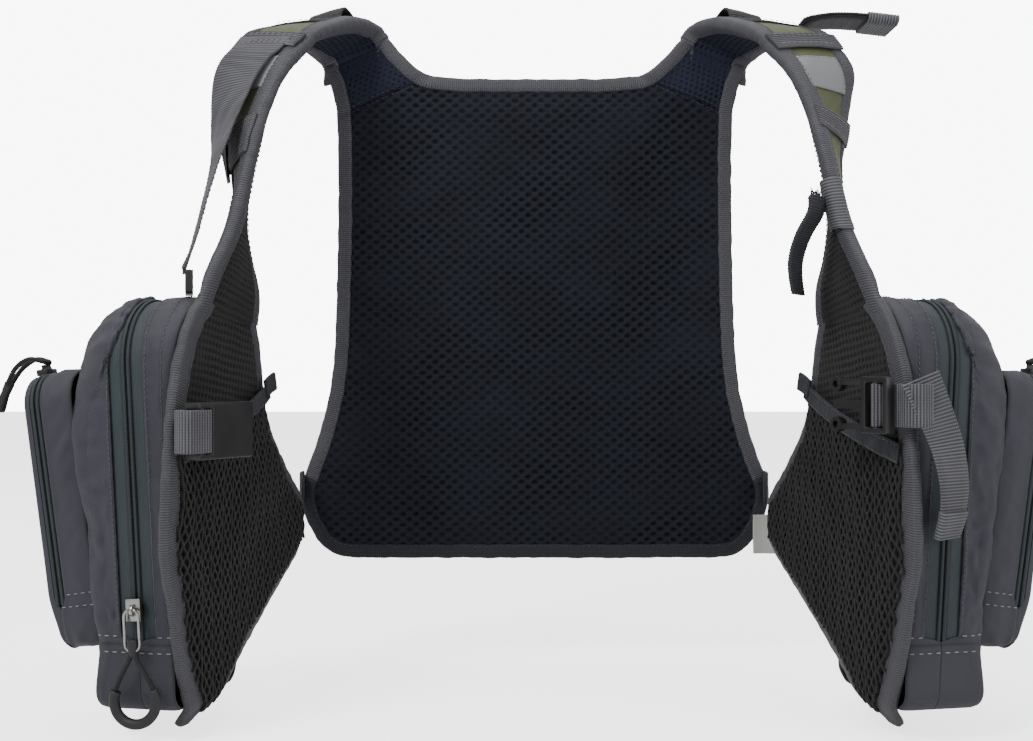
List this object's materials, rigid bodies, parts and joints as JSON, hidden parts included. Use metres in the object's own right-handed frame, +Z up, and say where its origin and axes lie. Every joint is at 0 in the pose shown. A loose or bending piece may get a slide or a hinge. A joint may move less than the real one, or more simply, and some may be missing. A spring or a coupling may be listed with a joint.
{
  "type": "fishing vest",
  "caption": "Open-front fishing vest with a padded mesh back, shoulder straps, zipped pouches on swinging front panels and a side-release front buckle.",
  "frame": {"origin": "centre of the back panel's face on the wearer's side", "axes": "+X to the right as seen from the front, +Y towards the wearer's back, +Z up"},
  "size_m": [0.6876, 0.2736, 0.4886],
  "materials": {
    "foam": "open-cell padding, matt",
    "mesh_navy": "honeycomb spacer mesh, matt",
    "mesh_yoke": "fine spacer mesh, matt",
    "mesh_charcoal": "bumpy air mesh, matt",
    "net": "stretch net, matt",
    "twill_slate": "coated polyester twill with a soft sheen",
    "twill_olive": "nylon with a soft sheen",
    "binding_grey": "ribbed grosgrain tape",
    "webbing_grey": "ribbed polyester webbing",
    "webbing_dark": "dark polyester webbing",
    "webbing_black": "black nylon webbing",
    "zip_tape": "woven zip tape",
    "reflective": "retroreflective tape, satin",
    "patch_dark": "hook-and-loop patch, matt",
    "thread": "sewing thread",
    "label": "blank woven label",
    "plastic_black": "moulded acetal, satin",
    "metal_nickel": "gunmetal nickel plate",
    "cord_black": "braided cord",
    "rubber_black": "soft moulded rubber"
  },
  "bodies": {
    "back": {"back_foam": "foam", "back_mesh": "mesh_navy", "back_shell": "twill_slate", "back_binding": "binding_grey", "yoke_mesh": "mesh_yoke", "shoulder_pad_left": "twill_olive", "shoulder_pad_right": "twill_olive", "shoulder_loops": "webbing_black", "shoulder_patches": "patch_dark", "side_strap_left": "webbing_dark", "side_strap_right": "webbing_dark", "care_label": "label"},
    "rod_tab": {"rod_tab": "webbing_grey"},
    "panel_left": {"panel_shell_left": "twill_slate", "panel_mesh_left": "mesh_charcoal", "panel_binding_left": "binding_grey", "net_pocket_left": "net", "net_hem_left": "webbing_dark", "strap_pad_left": "twill_olive", "reflector_left": "reflective", "pouch_body_left": "twill_slate", "pouch_zip_left": "zip_tape", "drape_webbing": "webbing_grey", "drape_adjuster": "plastic_black", "strap_band": "webbing_grey"},
    "pouch_lid_left": {"pouch_lid_left": "twill_slate", "lid_zip_left": "zip_tape", "pocket_body_left": "twill_slate"},
    "pocket_cover_left": {"pocket_cover_left": "twill_slate"},
    "main_slider_left": {"main_slider_left": "metal_nickel"},
    "main_pull_left": {"main_pull_left": "metal_nickel", "main_cord_left": "cord_black"},
    "pocket_slider_left": {"pocket_slider_left": "plastic_black"},
    "pocket_pull_left": {"pocket_pull_left": "cord_black"},
    "panel_right": {"panel_shell_right": "twill_slate", "panel_mesh_right": "mesh_charcoal", "panel_binding_right": "binding_grey", "net_pocket_right": "net", "net_hem_right": "webbing_dark", "strap_pad_right": "twill_olive", "reflector_right": "reflective", "pouch_body_right": "twill_slate", "pouch_zip_right": "zip_tape", "strap_keeper": "webbing_grey", "strap_tail": "webbing_dark", "buckle_tail": "webbing_grey"},
    "pouch_lid_right": {"pouch_lid_right": "twill_slate", "lid_zip_right": "zip_tape", "pocket_body_right": "twill_slate"},
    "pocket_cover_right": {"pocket_cover_right": "twill_slate"},
    "main_slider_right": {"main_slider_right": "metal_nickel"},
    "main_pull_right": {"main_pull_right": "metal_nickel", "main_cord_right": "cord_black"},
    "pocket_slider_right": {"pocket_slider_right": "plastic_black"},
    "pocket_pull_right": {"pocket_pull_right": "cord_black"},
    "buckle_female": {"buckle_female": "plastic_black", "female_webbing": "webbing_grey"},
    "buckle_male": {"buckle_male": "plastic_black"},
    "prong_upper": {"prong_upper": "plastic_black"},
    "prong_lower": {"prong_lower": "plastic_black"}
  },
  "joints": [
    {"name": "rod_tab_lift", "type": "hinge", "parent": "back", "child": "rod_tab", "pos_m": [0.194, -0.044, 0.2115], "axis": [0, -1, 0], "range_deg": [0, 100]},
    {"name": "panel_left_swing", "type": "hinge", "parent": "back", "child": "panel_left", "pos_m": [-0.17, -0.02, -0.125], "axis": [0, 0, 1], "range_deg": [-10, 40]},
    {"name": "pouch_lid_left_open", "type": "hinge", "parent": "panel_left", "child": "pouch_lid_left", "pos_m": [-0.25779, -0.15982, -0.2065], "axis": [-0.1908, -0.9816, 0], "range_deg": [0, 90]},
    {"name": "pocket_cover_left_open", "type": "hinge", "parent": "pouch_lid_left", "child": "pocket_cover_left", "pos_m": [-0.29126, -0.15331, -0.18377], "axis": [-0.1908, -0.9816, 0], "range_deg": [0, 75]},
    {"name": "main_slider_left_run", "type": "slide", "parent": "panel_left", "child": "main_slider_left", "axis": [-0.0545, 0.0106, 0.9985], "range_m": [0, 0.12]},
    {"name": "main_pull_left_flip", "type": "hinge", "parent": "main_slider_left", "child": "main_pull_left", "pos_m": [-0.24007, -0.21858, -0.178], "axis": [-0.9801, 0.1905, -0.0555], "range_deg": [0, 150]},
    {"name": "pocket_slider_left_run", "type": "slide", "parent": "pocket_cover_left", "child": "pocket_slider_left", "axis": [0.1908, 0.9816, 0], "range_m": [0, 0.028]},
    {"name": "pocket_pull_left_lift", "type": "hinge", "parent": "pocket_slider_left", "child": "pocket_pull_left", "pos_m": [-0.31016, -0.16186, -0.03426], "axis": [0.1908, 0.9816, 0], "range_deg": [0, 110]},
    {"name": "panel_right_swing", "type": "hinge", "parent": "back", "child": "panel_right", "pos_m": [0.17, -0.02, -0.125], "axis": [0, 0, -1], "range_deg": [-10, 40]},
    {"name": "pouch_lid_right_open", "type": "hinge", "parent": "panel_right", "child": "pouch_lid_right", "pos_m": [0.25779, -0.15982, -0.2065], "axis": [-0.1908, 0.9816, 0], "range_deg": [0, 90]},
    {"name": "pocket_cover_right_open", "type": "hinge", "parent": "pouch_lid_right", "child": "pocket_cover_right", "pos_m": [0.29126, -0.15331, -0.18377], "axis": [-0.1908, 0.9816, 0], "range_deg": [0, 75]},
    {"name": "main_slider_right_run", "type": "slide", "parent": "panel_right", "child": "main_slider_right", "axis": [0.0545, 0.0106, 0.9985], "range_m": [0, 0.12]},
    {"name": "main_pull_right_flip", "type": "hinge", "parent": "main_slider_right", "child": "main_pull_right", "pos_m": [0.21935, -0.11197, -0.178], "axis": [0.9801, 0.1905, -0.0555], "range_deg": [0, 100]},
    {"name": "pocket_slider_right_run", "type": "slide", "parent": "pocket_cover_right", "child": "pocket_slider_right", "axis": [-0.1908, 0.9816, 0], "range_m": [0, 0.028]},
    {"name": "pocket_pull_right_lift", "type": "hinge", "parent": "pocket_slider_right", "child": "pocket_pull_right", "pos_m": [0.31016, -0.16186, -0.03426], "axis": [0.1908, -0.9816, 0], "range_deg": [0, 110]},
    {"name": "buckle_female_turn", "type": "hinge", "parent": "panel_left", "child": "buckle_female", "pos_m": [-0.20448, -0.24455, -0.072], "axis": [0, 0, -1], "range_deg": [0, 150]},
    {"name": "buckle_male_turn", "type": "hinge", "parent": "panel_right", "child": "buckle_male", "pos_m": [0.20448, -0.24455, -0.057], "axis": [0, 0, 1], "range_deg": [0, 150]},
    {"name": "prong_upper_press", "type": "hinge", "parent": "buckle_male", "child": "prong_upper", "pos_m": [0.18939, -0.21943, -0.0438], "axis": [-0.8572, -0.515, 0], "range_deg": [0, 6], "stiffness_Nm_per_rad": 0.3},
    {"name": "prong_lower_press", "type": "hinge", "parent": "buckle_male", "child": "prong_lower", "pos_m": [0.18939, -0.21943, -0.0702], "axis": [0.8572, 0.515, 0], "range_deg": [0, 6], "stiffness_Nm_per_rad": 0.3}
  ],
  "couplings": [
    {"joint": "prong_lower_press", "follows": "prong_upper_press", "ratio": 1}
  ]
}
